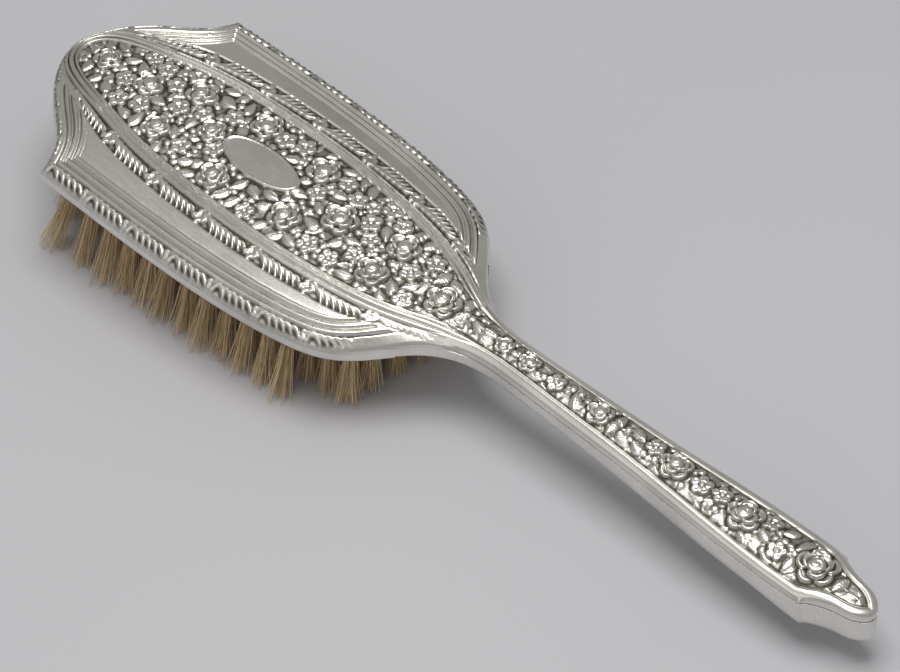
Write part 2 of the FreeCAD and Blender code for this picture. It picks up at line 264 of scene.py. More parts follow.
def nearest(line, x, y):
    """Distance to a polyline, the place along it and the side of it, for arrays of points."""
    a = line[:-1]
    b = line[1:]
    span = b - a
    size = np.maximum((span**2).sum(1), 1e-12)
    start = np.concatenate([[0.0], np.cumsum(np.sqrt(size))])[:-1]
    best = np.full(x.shape, 1e9)
    along = np.zeros(x.shape)
    side_of = np.zeros(x.shape)
    for i in range(len(a)):
        near = np.abs(x - a[i, 0]) < SEARCH_REACH
        px = x[near] - a[i, 0]
        py = y[near] - a[i, 1]
        t = np.clip((px * span[i, 0] + py * span[i, 1]) / size[i], 0.0, 1.0)
        dx = px - t * span[i, 0]
        dy = py - t * span[i, 1]
        d = dx * dx + dy * dy
        better = d < best[near]
        index = np.flatnonzero(near)[better]
        best[index] = d[better]
        along[index] = start[i] + t[better] * math.sqrt(size[i])
        side_of[index] = np.sign(span[i, 0] * dy[better] - span[i, 1] * dx[better])
    return np.sqrt(best), along, side_of


def smooth(edge0, edge1, value):
    """A smooth step from 0 at edge0 to 1 at edge1."""
    t = np.clip((value - edge0) / (edge1 - edge0), 0.0, 1.0)
    return t * t * (3.0 - 2.0 * t)


def bump(value, width):
    """A half round of height 1 and the given half width."""
    return np.sqrt(np.clip(1.0 - (value / width) ** 2, 0.0, 1.0))


# ================= chased motifs, each of height about 1 in a unit circle =================

def rose(u, v, phase):
    """A cabbage rose: two rings of round petals, each lapping over the last, about a furled ball."""
    h = np.zeros(u.shape)
    cover = np.zeros(u.shape)
    for petals, reach, size, top, turn in ((5, 0.53, 0.47, 0.52, 0.0), (3, 0.29, 0.42, 0.82, 0.7)):
        for i in range(petals):
            angle = phase + turn + i * math.tau / petals
            q = np.hypot(u - reach * math.cos(angle), v - reach * math.sin(angle)) / size
            curl = 0.20 * np.exp(-(((q - 0.80) / 0.16) ** 2))
            petal = top * (0.62 + 0.38 * bump(q, 1.02)) + curl - 0.16 * np.exp(-((q / 0.5) ** 2))
            mask = 1.0 - smooth(0.93, 1.03, q)
            shadow = np.exp(-(((q - 1.07) / 0.11) ** 2))
            h = (h - 0.26 * shadow * (h > 0.1)) * (1.0 - mask) + petal * mask
            cover = np.maximum(cover, mask)
    cu = u - 0.06 * math.cos(phase)
    cv = v - 0.06 * math.sin(phase)
    rho = np.hypot(cu, cv) / 0.40
    ball = 1.0 - smooth(0.93, 1.02, rho)
    moat = np.exp(-(((rho - 1.08) / 0.12) ** 2)) * 0.24
    spiral = (np.arctan2(cv, cu) - phase) / math.tau + 1.5 * rho
    furrow = np.abs(spiral - np.round(spiral))
    dome = 0.74 + 0.44 * np.sqrt(np.clip(1.0 - 0.85 * rho**2, 0.0, 1.0))
    dome -= 0.20 * np.exp(-((furrow / 0.11) ** 2)) * smooth(0.10, 0.30, rho)
    return (h - moat) * (1.0 - ball) + dome * ball, cover


def forget_me_not(u, v, phase):
    """Five round softly dished petals about a dot."""
    h = np.zeros(u.shape)
    for i in range(5):
        angle = phase + i * math.tau / 5.0
        q = np.hypot(u - 0.57 * math.cos(angle), v - 0.57 * math.sin(angle)) / 0.40
        petal = bump(q, 1.0) ** 0.35 - 0.34 * np.exp(-((q / 0.50) ** 2))
        h *= 1.0 - 0.5 * np.exp(-(((q - 1.04) / 0.10) ** 2))
        h = np.maximum(h, petal * (q < 1.0))
    heart = np.hypot(u, v)
    h = h * smooth(0.20, 0.30, heart) + 0.72 * bump(heart, 0.19)
    return h, (h > 0.02).astype(float)


def bud(u, v, phase):
    """A berry with a pricked top."""
    q = np.hypot(u, v)
    h = bump(q, 0.95) * 0.9 - 0.3 * np.exp(-((q / 0.25) ** 2))
    return h, 1.0 - smooth(0.9, 1.05, q)


def leaf(u, v, phase):
    """A veined pointed leaf from (-1, 0) to (1, 0)."""
    along = (u + 1.0) / 2.0
    inside = np.clip(along, 0.0, 1.0)
    width = 0.52 * np.sin(math.pi * inside**0.75) ** 0.9 * (1.0 + 0.07 * np.cos(inside * 44.0)) + 1e-4
    q = np.abs(v) / width
    h = (0.60 - 0.22 * q) * bump(q, 1.04)
    h -= 0.26 * np.exp(-((v / 0.045) ** 2)) * (along < 0.93)
    h -= 0.10 * (0.5 + 0.5 * np.cos(math.tau * (inside * 6.0 - np.abs(v) * 4.2))) ** 4
    valid = (along > 0.0) & (along < 1.0) & (q < 1.04)
    return np.where(valid, h, 0.0), valid.astype(float)


def comma(u, v):
    """A plump curved leaf stroke."""
    v = v - 0.32 * (u * u - 0.3)
    width = 0.21 * (1.0 - 0.35 * u) * np.sqrt(np.clip(1.0 - u * u, 0.0, 1.0)) + 1e-5
    return bump(v / width, 1.0) * (np.abs(u) < 1.0)


def spray(s, q, pitch, band, flower_radius, strokes, tilt):
    """A running border in (along, across) coordinates: a flower every pitch, and leaf strokes between."""
    place_in = s % pitch
    from_flower = np.minimum(place_in, pitch - place_in) * np.where(place_in < pitch / 2.0, 1.0, -1.0)
    h, _ = forget_me_not(from_flower / flower_radius, q / flower_radius, 0.3)
    room = pitch - 2.0 * flower_radius
    for i in range(strokes):
        centre = flower_radius + room * (i + 0.5) / strokes
        half = band * (1.42 - 0.08 * i)
        du = place_in - centre
        cu = (du * math.cos(tilt) + q * math.sin(tilt)) / half
        cv = (-du * math.sin(tilt) + q * math.cos(tilt)) / half
        h = np.maximum(h, comma(cu, cv * math.copysign(1.0, tilt)))
    return h


# ================= layout of the middle panel =================

rng = np.random.default_rng(PANEL_SEED)


def plan_panel():
    """Seeded places for the small flowers, leaves and buds between the roses."""
    taken = [(x, y, r * 0.98) for x, y, r in ROSES]
    cx, cy, ca, cb = CARTOUCHE

    def free(x, y, r, overlap):
        ahead = np.interp((x - r * 0.6, x, x + r * 0.6), bead_line[:, 0], bead_line[:, 1]).min()
        if ahead - abs(y) < BEAD_HALF * 0.75 + r * 0.55:
            return False
        if ((x - cx) / (ca + r * 0.8)) ** 2 + ((y - cy) / (cb + r * 0.8)) ** 2 < 1.0:
            return False
        return all(math.hypot(x - a, y - b) > (r + c) * overlap for a, b, c in taken)

    flowers, leaves, buds = [], [], []
    for radius, wanted, tries, overlap, store in (
        (2.75, 34, 5000, 0.88, flowers), (1.7, 90, 4000, 0.90, leaves),
        (2.05, 60, 4000, 0.88, flowers), (0.85, 160, 4000, 0.86, buds),
    ):
        made = 0
        for _ in range(tries):
            x = rng.uniform(5.0, OVERALL_LENGTH - 4.0)
            y = rng.uniform(-15.0, 15.0)
            r = radius * rng.uniform(0.9, 1.08)
            angle = rng.uniform(0.0, math.tau)
            if made < wanted and free(x, y, r, overlap):
                taken.append((x, y, r))
                store.append((x, y, r, angle))
                made += 1
    return flowers, leaves, buds


def plan_under_leaves():
    """A seeded carpet of overlapping leaves that point outwards under the flowers."""
    places = []
    for x in np.arange(4.0, OVERALL_LENGTH - 3.0, 1.55):
        limit = float(np.interp(x, bead_line[:, 0], bead_line[:, 1])) - BEAD_HALF
        for y in np.arange(-limit, limit + 0.1, 1.7):
            angle = math.atan2(y, 6.0) + rng.normal(0.0, 0.75) + (math.pi if rng.random() < 0.3 else 0.0)
            places.append((x + rng.normal(0.0, 0.5), y + rng.normal(0.0, 0.5), rng.uniform(2.0, 2.9), angle))
    order = rng.permutation(len(places))
    return [places[i] + (rng.uniform(0.40, 0.62),) for i in order]


NO_MOAT = 1.0 + 1e-9

small_flowers, small_leaves, small_buds = plan_panel()
under_leaves = plan_under_leaves()


def stamp(relief, x, y, centre, radius, angle, height, motif, moat, phase=0.0):
    """Press one motif into the relief: it sinks what lies round it a little, and stands over the rest."""
    reach = radius * moat * 1.15
    near = np.flatnonzero((np.abs(x - centre[0]) < reach) & (np.abs(y - centre[1]) < reach))
    if len(near) == 0:
        return
    dx = (x[near] - centre[0]) / radius
    dy = (y[near] - centre[1]) / radius
    u = dx * math.cos(angle) + dy * math.sin(angle)
    v = -dx * math.sin(angle) + dy * math.cos(angle)
    shape, cover = motif(u, v, phase)
    rho = np.hypot(u, v)
    sink = 1.0 - 0.75 * (1.0 - smooth(1.0, moat, rho)) * (1.0 - cover)
    old = relief[near] * np.where(rho < moat, sink, 1.0)
    pressed = shape * height
    relief[near] = np.where(cover > 0.5, np.maximum(pressed, old * 0.25), np.maximum(pressed, old))


def panel_relief(x, y):
    """Heights of the flowers in the middle panel and on the handle."""
    relief = np.zeros(x.shape)
    for cx, cy, r, angle, height in under_leaves:
        stamp(relief, x, y, (cx, cy), r, angle, height, leaf, NO_MOAT)
    for index, (cx, cy, r) in enumerate(ROSES):
        leaf_count = 5 if cx < FIRST_HANDLE_FLOWER else 3
        for i in range(leaf_count):
            angle = i * math.tau / leaf_count + 0.9 * index
            if cx > FIRST_HANDLE_FLOWER:
                angle = (i - 1) * 0.9 + (0.0 if index % 2 else math.pi)
            spot = (cx + math.cos(angle) * r * 1.25, cy + math.sin(angle) * r * 1.25)
            stamp(relief, x, y, spot, r * 0.75, angle, 0.90, leaf, 1.02)
    for cx, cy, r, angle in small_leaves:
        stamp(relief, x, y, (cx, cy), r * 1.45, angle, 0.90, leaf, 1.02)
    for cx, cy, r, angle in small_buds:
        stamp(relief, x, y, (cx, cy), r, angle, 0.50, bud, 1.15)
    for cx, cy, r, angle in small_flowers:
        stamp(relief, x, y, (cx, cy), r, angle, 0.62, forget_me_not, 1.10)
    for index, (cx, cy, r) in enumerate(ROSES):
        stamp(relief, x, y, (cx, cy), r * 1.04, 0.0, 0.30 * r, rose, 1.12, 1.3 * index)
    return relief


# ================= height of the back =================

corner_along = np.linalg.norm(np.diff(arch, axis=0), axis=1).sum()
coarse_outline = np.concatenate([resample(arch, 0.7)[:-1], resample(side, 0.8)[:-1], resample(tip, 0.5)])
_, inner_start, _ = nearest(bead_line, np.array([30.0]), np.array([14.0]))


def crown_rise(x):
    """How far the middle of the back stands over its edge, low at the two ends."""
    along_neck = smooth(0.0, 1.0, (x - CROWN_FADE) / CROWN_FADE)
    rise = HEAD_CROWN + (HANDLE_CROWN - HEAD_CROWN) * along_neck
    head_share = np.clip(x / (CORNER_SETBACK * 2.2), 0.0, 1.0)
    tip_share = np.clip((OVERALL_LENGTH - x) / (TIP_LENGTH * 1.4), 0.0, 1.0)
    return rise * np.sqrt(1.0 - (1.0 - head_share) ** 2) * np.sqrt(1.0 - (1.0 - tip_share) ** 2)


def plain_form(x, y, d, border_scale, on_handle, on_head):
    """The crown before chasing: its edge rolls into the side wall, and the border band slopes down to it."""
    share = np.clip(y / crown_width(x), -1.0, 1.0)
    z = PARTING + ARRIS_RISE + crown_rise(x) * (1.0 - share**2)
    round_to = EDGE_ROUND - 0.30 * on_handle
    roll = np.clip(1.0 - d / round_to, 0.0, 1.0)
    z -= round_to * (1.0 - np.sqrt(np.clip(1.0 - roll**2, 0.0, 1.0)))
    slope = np.clip(1.0 - d / (BORDER_WIDTH * border_scale), 0.0, 1.0) ** 1.25
    z -= EDGE_DROP * slope * on_head
    return z


def stepped_lines(d):
    """Ridges along the edge, each a step above the last, and the fine grooves that set them off."""
    lines = np.zeros(d.shape)
    grooves = np.zeros(d.shape)
    for ridge in LINE_PLACES:
        lines += LINE_STEP * smooth(ridge - 0.45, ridge + 0.1, d)
        lines += LINE_HEIGHT * bump(d - ridge, LINE_HALF)
        before = np.exp(-(((d - ridge + LINE_GROOVE_OUT) / GROOVE_HALF) ** 2))
        after = np.exp(-(((d - ridge - LINE_GROOVE_IN) / GROOVE_HALF) ** 2))
        grooves += before + 0.6 * after
    return lines, grooves


def outer_border(x, d, s, border_scale):
    """The flower border along the edge, and how fully it shows."""
    fade = (1.0 - smooth(*BORDER_FADE, x)) * smooth(0.1, 0.5, d)
    fade = fade * (1.0 - smooth(2.75, 3.0, d / border_scale))
    phase = np.where(s > corner_along, s - corner_along - 0.6, (s - corner_along) * 1.6)
    across = (d - BORDER_MIDDLE * border_scale) / border_scale
    flowers = spray(phase, across, BORDER_PITCH, band=1.70, flower_radius=1.65, strokes=5, tilt=-0.55)
    return flowers, fade


def inner_border(x, e, along, inner_scale):
    """The flower border outside the panel's bead, and how fully it shows."""
    fade = smooth(*INNER_RISE, x) * (1.0 - smooth(*INNER_FADE, x))
    fade *= smooth(BEAD_HALF - 0.1, BEAD_HALF + 0.15, e) * (1.0 - smooth(5.4, 5.9, e / inner_scale))
    across = (e - BEAD_HALF - (INNER_MIDDLE - BEAD_HALF) * inner_scale) / inner_scale
    flowers = spray(along, across, INNER_PITCH, band=2.20, flower_radius=2.0, strokes=7, tilt=0.58)
    return flowers, fade


def panel_bead(e, on_handle, narrow):
    """Three beads side by side round the panel, which turn into one plain moulding on the handle."""
    bead = BEAD_HEIGHT * bump(e, BEAD_RADIUS)
    bead = bead + SIDE_BEAD_HEIGHT * bump(e - SIDE_BEAD_PLACE, SIDE_BEAD_RADIUS)
    bead = bead + SIDE_BEAD_HEIGHT * bump(e + SIDE_BEAD_PLACE, SIDE_BEAD_RADIUS)
    bead = bead * (1.0 - on_handle) + on_handle * MOULDING_HEIGHT * bump(e - MOULDING_PLACE, MOULDING_HALF)
    swell = 0.25 * smooth(2.2, 0.0, e) * (1.0 - on_handle)
    groove = np.exp(-(((np.abs(e) - 0.68) / 0.13) ** 2)) * (1.0 - on_handle)
    groove += np.exp(-(((np.abs(e) - 1.64 * narrow) / GROOVE_HALF) ** 2)) * (0.5 + 0.3 * on_handle)
    return bead + swell, groove


def back_height(x, y):
    """The silver back over the plan: its height, how dark it is, where it is chased, and the chasing."""
    shape = x.shape
    x = x.ravel()
    y = y.ravel()
    ay = np.abs(y)
    d, s, _ = nearest(coarse_outline, x, ay)
    e, se, out = nearest(bead_line, x, ay)
    e = e * np.where(out > 0, 1.0, -1.0)
    on_handle = smooth(*HANDLE_BLEND, x)
    on_head = 1.0 - smooth(*HEAD_FADE, x)
    border_scale = 0.55 + 0.45 * smooth(corner_along - 2.0, corner_along, s)
    inner_scale = 0.42 + 0.58 * smooth(*INNER_WIDEN, x)
    inner_scale *= 1.0 - 0.45 * smooth(*INNER_NARROW, x)

    z = plain_form(x, y, d, border_scale, on_handle, on_head)
    form = z.copy()

    # the lines give way to the inner border and the bead
    lines, grooves = stepped_lines(d)
    inner_edge = BEAD_HALF + 2.0 * (INNER_MIDDLE - BEAD_HALF) * inner_scale
    clear = smooth(0.0, 0.5, e - inner_edge) * on_head
    z += lines * clear - LINE_GROOVE_DEPTH * grooves * clear

    outer, fade = outer_border(x, d, s, border_scale)
    z += BORDER_HEIGHT * outer * fade * border_scale
    inner, inner_fade = inner_border(x, e, se - inner_start[0], inner_scale)
    z += INNER_HEIGHT * inner * inner_fade * inner_scale

    narrow = 1.0 - 0.85 * on_handle
    bead, bead_groove = panel_bead(e, on_handle, narrow)
    z += bead
    z -= BEAD_GROOVE_DEPTH * bead_groove

    # middle panel with its plain oval
    cx, cy, ca, cb = CARTOUCHE
    oval = np.sqrt(((x - cx) / ca) ** 2 + ((y - cy) / cb) ** 2)
    inside = smooth(-BEAD_HALF * narrow + 0.25, -BEAD_HALF * narrow - 0.25, e)
    relief = panel_relief(x, y)
    relief *= smooth(1.0, 1.05, oval) * inside
    plate = 1.0 - smooth(0.97, 1.03, oval)
    z += relief - PANEL_DEPTH * inside * (1.0 - plate)
    z += plate * PLATE_HEIGHT + PLATE_RIM_HEIGHT * bump((oval - 1.0) * cb, PLATE_RIM_HALF)

    # where polish never reaches
    zone = np.maximum(inside * (1.0 - plate), np.maximum(fade * (d < 3.1), inner_fade))
    chased = np.maximum(relief, np.maximum(outer * fade * 0.42, inner * inner_fade * 0.5))
    bare = zone * (1.0 - smooth(0.02, 0.16, chased))
    bare *= np.where(inside > 0.5, 0.42, 0.16)
    dark = np.clip(bare + 0.95 * grooves * clear + 0.95 * bead_groove, 0.0, 1.0)
    return z.reshape(shape), dark.reshape(shape), zone.reshape(shape), (z - form).reshape(shape)


# ================= meshes =================

def place(points):
    """Level brush coordinates in millimetres to the shared frame in metres."""
    p = np.asarray(points, float)
    out = np.empty_like(p)
    dx = p[..., 0] - LEAN_STATION
    out[..., 0] = LEAN_STATION + dx * math.cos(REST_LEAN) + p[..., 2] * math.sin(REST_LEAN) + TO_ORIGIN
    out[..., 1] = p[..., 1]
    out[..., 2] = -dx * math.sin(REST_LEAN) + p[..., 2] * math.cos(REST_LEAN)
    return out * MM


def grid_normals(p):
    """Normals of a grid of points whose rows run along X and columns along Y."""
    along = np.gradient(p, axis=0)
    across = np.gradient(p, axis=1)
    n = np.cross(along, across)
    size = np.linalg.norm(n, axis=-1, keepdims=True)
    return np.where(size > 1e-12, n / np.maximum(size, 1e-12), [0.0, 0.0, 1.0])


def make_piece(name, points, material, node, attributes=None, normals=None, flip=False,
               sharp=None):
    """A mesh from a grid of points in the shared frame."""
    rows, columns = points.shape[:2]
    index = np.arange(rows * columns).reshape(rows, columns)
    quads = np.stack([index[:-1, :-1], index[1:, :-1], index[1:, 1:], index[:-1, 1:]], -1).reshape(-1, 4)
    if flip:
        quads = quads[:, ::-1]
    mesh = bpy.data.meshes.new(name)
    mesh.vertices.add(rows * columns)
    mesh.vertices.foreach_set("co", points.reshape(-1).astype(np.float32))
    mesh.loops.add(quads.size)
    mesh.loops.foreach_set("vertex_index", quads.reshape(-1).astype(np.int32))
    mesh.polygons.add(len(quads))
    mesh.polygons.foreach_set("loop_start", (np.arange(len(quads)) * 4).astype(np.int32))
    mesh.polygons.foreach_set("use_smooth", np.ones(len(quads), bool))
    mesh.update(calc_edges=True)
    for key, values in (attributes or {}).items():
        layer = mesh.attributes.new(key, "FLOAT", "POINT")
        layer.data.foreach_set("value", values.reshape(-1).astype(np.float32))
    if normals is not None:
        mesh.normals_split_custom_set_from_vertices(normals.reshape(-1, 3).tolist())
    if sharp is not None:
        mesh.set_sharp_from_angle(angle=math.radians(sharp))
    mesh.materials.append(material)
    piece = bpy.data.objects.new(name, mesh)
    bpy.context.scene.collection.objects.link(piece)
    register(piece, node)


def register(piece, node):
    """Every piece rides on the one body and stands for a node of the solid model."""
    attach(piece, "root")
    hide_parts(node)


def blur(field, size):
    """A box blur over the grid, along both ways."""
    for axis in (0, 1):
        pad = [(size, size) if a == axis else (0, 0) for a in range(2)]
        total = np.cumsum(np.pad(field, pad, mode="edge"), axis=axis)
        total = np.concatenate([np.zeros_like(np.take(total, [0], axis)), total], axis)
        high = np.take(total, range(2 * size + 1, total.shape[axis]), axis)
        low = np.take(total, range(0, total.shape[axis] - 2 * size - 1), axis)
        field = (high - low) / (2 * size + 1)
    return field


def relief_grid(stations, widths, columns):
    """Points, darkening, normals and level heights of the back over some stations."""
    t = np.linspace(-1.0, 1.0, columns)
    x = np.repeat(stations[:, None], columns, 1)
    y = widths[:, None] * t[None, :]
    z, dark, zone, chasing = back_height(x, y)
    hollow = blur(blur(chasing, 3), 2) - chasing
    wide = blur(blur(chasing, 7), 4) - chasing
    cavity = np.clip(hollow / 0.13, 0.0, 1.0) + 0.35 * np.clip(wide / 0.40, 0.0, 1.0)
    tarnish = np.clip(dark + cavity * zone * 0.75, 0.0, 1.0)
    points = place(np.stack([x, y, z], -1))
    softened = place(np.stack([x, y, blur(z, 1)], -1))
    return points, blur(tarnish, 1), grid_normals(softened), z


# ================= materials =================

class Maths:
    """A socket that can be added, multiplied and so on, each step being one Math node."""

    def __init__(self, tree, socket):
        self.tree = tree
        self.socket = socket

    def step(self, operation, *others):
        node = self.tree.nodes.new("ShaderNodeMath")
        node.operation = operation
        for place_in, value in enumerate((self,) + others):
            feed(self.tree, node.inputs[place_in], value)
        return Maths(self.tree, node.outputs[0])

    def reverse(self, operation, other):
        node = self.tree.nodes.new("ShaderNodeMath")
        node.operation = operation
        feed(self.tree, node.inputs[0], other)
        feed(self.tree, node.inputs[1], self)
        return Maths(self.tree, node.outputs[0])

    def __add__(self, other):
        return self.step("ADD", other)

    def __radd__(self, other):
        return self.reverse("ADD", other)

    def __sub__(self, other):
        return self.step("SUBTRACT", other)

    def __rsub__(self, other):
        return self.reverse("SUBTRACT", other)

    def __mul__(self, other):
        return self.step("MULTIPLY", other)

    def __rmul__(self, other):
        return self.reverse("MULTIPLY", other)

    def clamped(self, low=0.0, high=1.0):
        return self.step("MAXIMUM", low).step("MINIMUM", high)


def feed(tree, socket, value):
    """Link a socket or set a constant."""
    if isinstance(value, Maths):
        tree.links.new(value.socket, socket)
    elif isinstance(value, bpy.types.NodeSocket):
        tree.links.new(value, socket)
    else:
        socket.default_value = value


class Material:
    """A node material with one Principled shader."""

    def __init__(self, name, metallic, roughness, colour, **constants):
        self.material = bpy.data.materials.new(name)
        self.material.use_nodes = True
        self.tree = self.material.node_tree
        self.tree.nodes.clear()
        self.shader = self.node("ShaderNodeBsdfPrincipled")
        output = self.node("ShaderNodeOutputMaterial")
        self.tree.links.new(self.shader.outputs["BSDF"], output.inputs["Surface"])
        self.shader.inputs["Metallic"].default_value = metallic
        self.shader.inputs["Roughness"].default_value = roughness
        self.shader.inputs["Base Color"].default_value = (*colour, 1.0)
        for key, value in constants.items():
            self.shader.inputs[key.replace("_", " ")].default_value = value
        coordinates = self.node("ShaderNodeTexCoord")
        self.place = coordinates.outputs["Object"]

    def node(self, kind, inputs=None, **settings):
        made = self.tree.nodes.new(kind)
        for key, value in settings.items():
            setattr(made, key, value)
        for key, value in (inputs or {}).items():
            feed(self.tree, made.inputs[key], value)
        return made

    def stretched(self, scale):
        return self.node("ShaderNodeMapping", {"Vector": self.place, "Scale": scale}).outputs["Vector"]

    def noise(self, scale, detail=4.0, roughness=0.55, vector=None):
        made = self.node("ShaderNodeTexNoise", {
            "Vector": vector or self.place, "Scale": scale, "Detail": detail, "Roughness": roughness})
        return Maths(self.tree, made.outputs["Fac"])

    def attribute(self, name):
        made = self.node("ShaderNodeAttribute", attribute_name=name)
        return Maths(self.tree, made.outputs["Fac"])

    def mix(self, factor, one, two):
        made = self.node("ShaderNodeMix", data_type="RGBA")
        feed(self.tree, made.inputs[0], factor)
        for place_in, value in ((6, one), (7, two)):
            feed(self.tree, made.inputs[place_in], (*value, 1.0) if isinstance(value, tuple) else value)
        return made.outputs[2]

    def ramp(self, value, low, high):
        made = self.node("ShaderNodeMapRange", {
            "Value": value, "From Min": low, "From Max": high}, interpolation_type="SMOOTHSTEP")
        return Maths(self.tree, made.outputs["Result"])

    def colour(self, value):
        feed(self.tree, self.shader.inputs["Base Color"], value)

    def rough(self, value):
        feed(self.tree, self.shader.inputs["Roughness"], value)

    def relief(self, height, strength, distance):
        made = self.node("ShaderNodeBump", {"Height": height, "Strength": strength, "Distance": distance})
        feed(self.tree, self.shader.inputs["Normal"], made.outputs["Normal"])


SILVER = (0.80, 0.785, 0.745)
SILVER_SHADE = (0.60, 0.59, 0.55)
TARNISH = (0.085, 0.077, 0.060)


def silver_material(name, has_tarnish, roughness=0.27):
    """Polished silver that has darkened in its hollows, with fine wear scratches."""
    made = Material(name, 1.0, roughness, SILVER)
    cloud = made.noise(45.0, 4.0)
    fine = made.noise(900.0, 3.0)
    scratch = made.noise(240.0, 3.0, 0.6, made.stretched((1.0, 7.0, 1.0)))
    body = made.mix(made.ramp(cloud, 0.35, 0.75), SILVER, SILVER_SHADE)
    rough = roughness + 0.10 * (cloud - 0.5) + 0.12 * (scratch - 0.5) + 0.06 * (fine - 0.5)
    if has_tarnish:
        depth = (made.attribute("tarnish") * (0.75 + 0.5 * fine)).clamped()
        made.colour(made.mix(made.ramp(depth, 0.12, 0.95), body, TARNISH))
        made.rough((rough + 0.22 * depth).clamped(0.08, 0.9))
    else:
        spots = made.ramp(made.noise(70.0, 5.0, 0.65), 0.60, 0.82) * 0.35
        made.colour(made.mix(spots, body, TARNISH))
        made.rough(rough.clamped(0.08, 0.9))
    made.relief(scratch * 0.6 + fine * 0.4, 0.10, 0.0002)
    return made.material


silver_chased = silver_material("chased silver", True)
silver_plain = silver_material("plain silver", False, 0.25)


def wood_material():
    """Oiled wood with its grain and pores along the brush."""
    made = Material("board wood", 0.0, 0.42, (0.30, 0.17, 0.09), Coat_Weight=0.25)
    grain = made.noise(60.0, 8.0, 0.62, made.stretched((0.9, 14.0, 9.0)))
    pores = made.noise(260.0, 4.0, 0.6, made.stretched((1.0, 9.0, 9.0)))
    tone = made.mix(made.ramp(grain, 0.30, 0.72), (0.36, 0.21, 0.11), (0.17, 0.085, 0.04))
    made.colour(made.mix(made.ramp(pores, 0.58, 0.80) * 0.6, tone, (0.07, 0.035, 0.02)))
    made.rough((0.36 + 0.25 * pores).clamped())
    made.relief(grain * 0.5 + pores * 0.5, 0.25, 0.0003)
    return made.material


def plain_material(name, metallic, roughness, light, dark, scale):
    """An inner piece: two mottled tones and a slightly uneven surface."""
    made = Material(name, metallic, roughness, light)
    cloud = made.noise(scale, 6.0, 0.6)
    fine = made.noise(scale * 9.0, 3.0)
    made.colour(made.mix(made.ramp(cloud, 0.3, 0.7), light, dark))
    made.rough((roughness + 0.3 * (fine - 0.5)).clamped(0.05, 1.0))
    made.relief(cloud * 0.6 + fine * 0.4, 0.3, 0.0003)
    return made.material


def bristle_material():
    """Straw-coloured hair that differs from strand to strand, with painted shade darkening it towards its
    root, where the head shades it.
    """
    made = Material("natural bristle", 0.0, 0.42, (0.55, 0.40, 0.22), Sheen_Weight=0.15)
    tone = made.attribute("tone")
    along = made.attribute("along")
    fine = made.noise(1500.0, 3.0)
    straw = made.mix(made.ramp(tone, 0.15, 0.9), (0.86, 0.66, 0.36), (0.52, 0.34, 0.15))
    # painted shade: the hair goes dark towards its root, where the head and the crowded tufts shade it
    root_shaded = made.mix(made.ramp(along, 0.35, 0.0), straw, (0.14, 0.095, 0.05))
    made.colour(made.mix((fine * 0.35).clamped(), root_shaded, (0.80, 0.68, 0.48)))
    made.rough((0.36 + 0.2 * fine).clamped())
    return made.material


materials = {
    "silver": silver_plain,
    "board_wood": wood_material(),
    "natural_bristle": bristle_material(),
    "drawing_wire": plain_material(
        "drawn brass wire", 1.0, 0.30, (0.78, 0.58, 0.25), (0.55, 0.38, 0.15), 150.0),
    "pitch": plain_material("pitch cement", 0.0, 0.62, (0.05, 0.04, 0.032), (0.02, 0.016, 0.013), 60.0),
    "steel": plain_material("steel strip", 1.0, 0.38, (0.42, 0.42, 0.44), (0.24, 0.22, 0.21), 90.0),
}

NODE_MATERIALS = {
    "bristle_board": "board_wood", "head_filler": "pitch", "handle_filler": "pitch", "neck_strip": "steel",
}
for name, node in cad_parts.items():
    kind = NODE_MATERIALS.get(name, "silver")
    if name.startswith("drawing_wire"):
        kind = "drawing_wire"
    if name.startswith("bristle_row"):
        kind = "natural_bristle"
    node.data.materials.clear()
    node.data.materials.append(materials[kind])


# ================= the chased back =================

arch_rows = resample(arch, ARCH_STEP)
tip_rows = resample(tip, HANDLE_STEP)
head_stations = np.concatenate([arch_rows[:-1, 0], np.arange(CORNER_SETBACK, JOIN_STATION + 0.4, HEAD_STEP)])
head_stations[0] = 0.012
head_widths = np.concatenate([arch_rows[:-1, 1], half_width(head_stations[len(arch_rows) - 1:])])
head_widths[0] = 0.10
points, tarnish, normals, head_z = relief_grid(head_stations, head_widths, HEAD_COLUMNS)
quarter = HEAD_COLUMNS // 4
half_way = len(head_stations) // 2
for name, rows, columns in (
    ("back_border_right", slice(None), slice(0, quarter + 1)),
    ("back_panel_front", slice(0, half_way + 1), slice(quarter, 3 * quarter + 1)),
    ("back_panel_rear", slice(half_way, None), slice(quarter, 3 * quarter + 1)),
    ("back_border_left", slice(None), slice(3 * quarter, HEAD_COLUMNS)),
):
    make_piece(name, points[rows, columns], silver_chased, "back_stamping",
               {"tarnish": tarnish[rows, columns]}, normals[rows, columns])

handle_stations = np.concatenate([np.arange(JOIN_STATION, HANDLE_CORNER, HANDLE_STEP), tip_rows[:, 0]])
handle_widths = np.concatenate([half_width(handle_stations[:-len(tip_rows)]), tip_rows[:, 1]])
handle_stations[-1] = OVERALL_LENGTH - 0.006
handle_widths[-1] = 0.05
handle_points, handle_tarnish, handle_normals, handle_z = relief_grid(
    handle_stations, handle_widths, HANDLE_COLUMNS)
make_piece("back_handle", handle_points, silver_chased, "back_stamping", {"tarnish": handle_tarnish},
           handle_normals)


# ================= pitch inside the head =================

